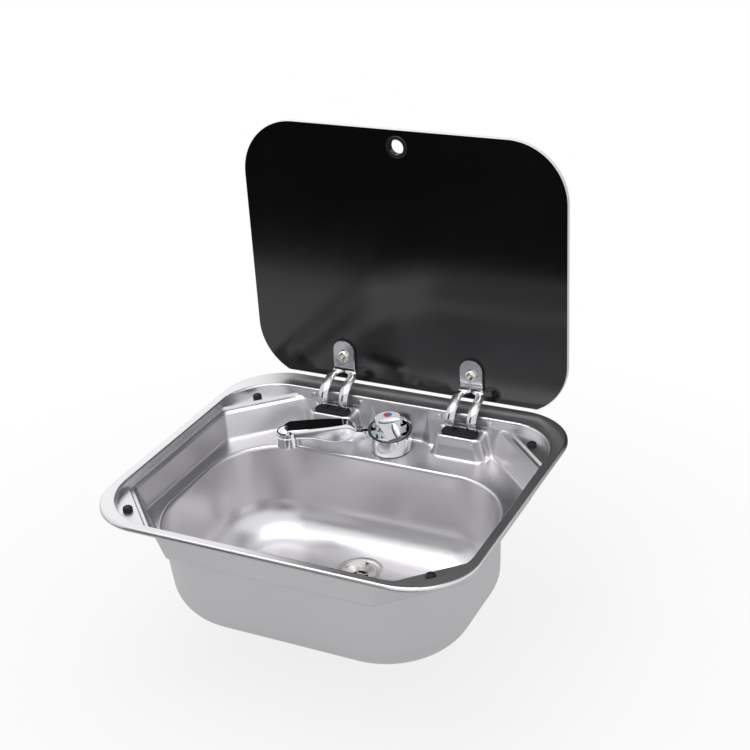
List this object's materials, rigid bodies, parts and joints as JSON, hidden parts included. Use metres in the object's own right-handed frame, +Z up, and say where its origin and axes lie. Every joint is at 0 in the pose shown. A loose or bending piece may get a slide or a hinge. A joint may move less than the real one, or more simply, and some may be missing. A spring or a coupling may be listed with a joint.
{
  "type": "drop-in sink",
  "caption": "Pressed stainless drop-in sink for a vehicle kitchen, with a black glass lid on two hinges and a low mixer tap whose spout swivels and folds.",
  "frame": {"origin": "centre of the worktop cut-out, in the plane of the worktop that the rim rests on", "axes": "+X to the right along the hinge line, +Y to the rear where the lid stands open, +Z up"},
  "size_m": [0.42, 0.3737, 0.515],
  "materials": {
    "satin_steel": "satin stainless sheet",
    "foam": "closed-cell foam",
    "black_rubber": "matt",
    "zinc_steel": "zinc-plated",
    "grey_plastic": "matt moulded",
    "rivet_steel": "bright stainless",
    "polished_steel": "polished stainless",
    "chrome": "polished chrome plate",
    "brass": "plain turned",
    "copper_tube": "drawn tube",
    "black_glass": "black tempered, polished",
    "grommet_plastic": "bright ring",
    "hinge_steel": "bright plated steel",
    "black_plastic": "moulded",
    "red_mark": "glossy inlay",
    "blue_mark": "glossy inlay"
  },
  "bodies": {
    "root": {"sink_bowl": "satin_steel", "rim_seal": "foam", "lid_bumpers": "black_rubber", "hinge_bracket_left": "zinc_steel", "hinge_bracket_right": "zinc_steel", "hinge_pin_left": "zinc_steel", "hinge_pin_right": "zinc_steel", "hinge_washers": "zinc_steel", "hinge_spacers": "grey_plastic", "bracket_rivets": "rivet_steel", "slot_rubber_left": "black_rubber", "slot_rubber_right": "black_rubber", "drain_flange": "polished_steel", "drain_gasket": "black_rubber", "drain_tail": "grey_plastic", "drain_screw": "polished_steel", "tap_gasket": "black_rubber", "tap_base": "chrome", "tap_washer": "zinc_steel", "tap_nut": "brass", "inlet_tail_hot": "copper_tube", "inlet_tail_cold": "copper_tube", "tap_cartridge": "brass"},
    "lid": {"lid_glass": "black_glass", "finger_grommet": "grommet_plastic", "hinge_arm_left": "hinge_steel", "hinge_arm_right": "hinge_steel", "arm_shoe_left": "black_rubber", "arm_shoe_right": "black_rubber", "hinge_gasket_left": "black_rubber", "hinge_gasket_right": "black_rubber", "lid_screws": "chrome", "lid_caps": "black_plastic"},
    "tap_head": {"tap_body": "chrome", "spout_pin": "chrome"},
    "spout": {"tap_spout": "chrome", "spout_aerator": "chrome"},
    "spindle": {"tap_spindle": "brass"},
    "handle": {"tap_handle": "chrome", "mark_hot": "red_mark", "mark_cold": "blue_mark"}
  },
  "joints": [
    {"name": "lid_hinge", "type": "hinge", "parent": "root", "child": "lid", "pos_m": [0, 0.1657, -0.011], "axis": [-1, 0, 0], "range_deg": [-90, 0]},
    {"name": "head_swivel", "type": "hinge", "parent": "root", "child": "tap_head", "pos_m": [0.0012, 0.1226, -0.03], "axis": [0, 0, 1], "range_deg": [0, 134]},
    {"name": "spout_lift", "type": "hinge", "parent": "tap_head", "child": "spout", "pos_m": [-0.0289, 0.10982, -0.0185], "axis": [-0.3907, 0.9205, 0], "range_deg": [0, 60]},
    {"name": "handle_turn", "type": "hinge", "parent": "tap_head", "child": "spindle", "pos_m": [0.0012, 0.1226, -0.016], "axis": [0, 0, 1], "range_deg": [-45, 45]},
    {"name": "handle_lift", "type": "hinge", "parent": "spindle", "child": "handle", "pos_m": [0.0012, 0.1226, -0.016], "axis": [-0.766, -0.6428, 0], "range_deg": [0, 20]}
  ]
}
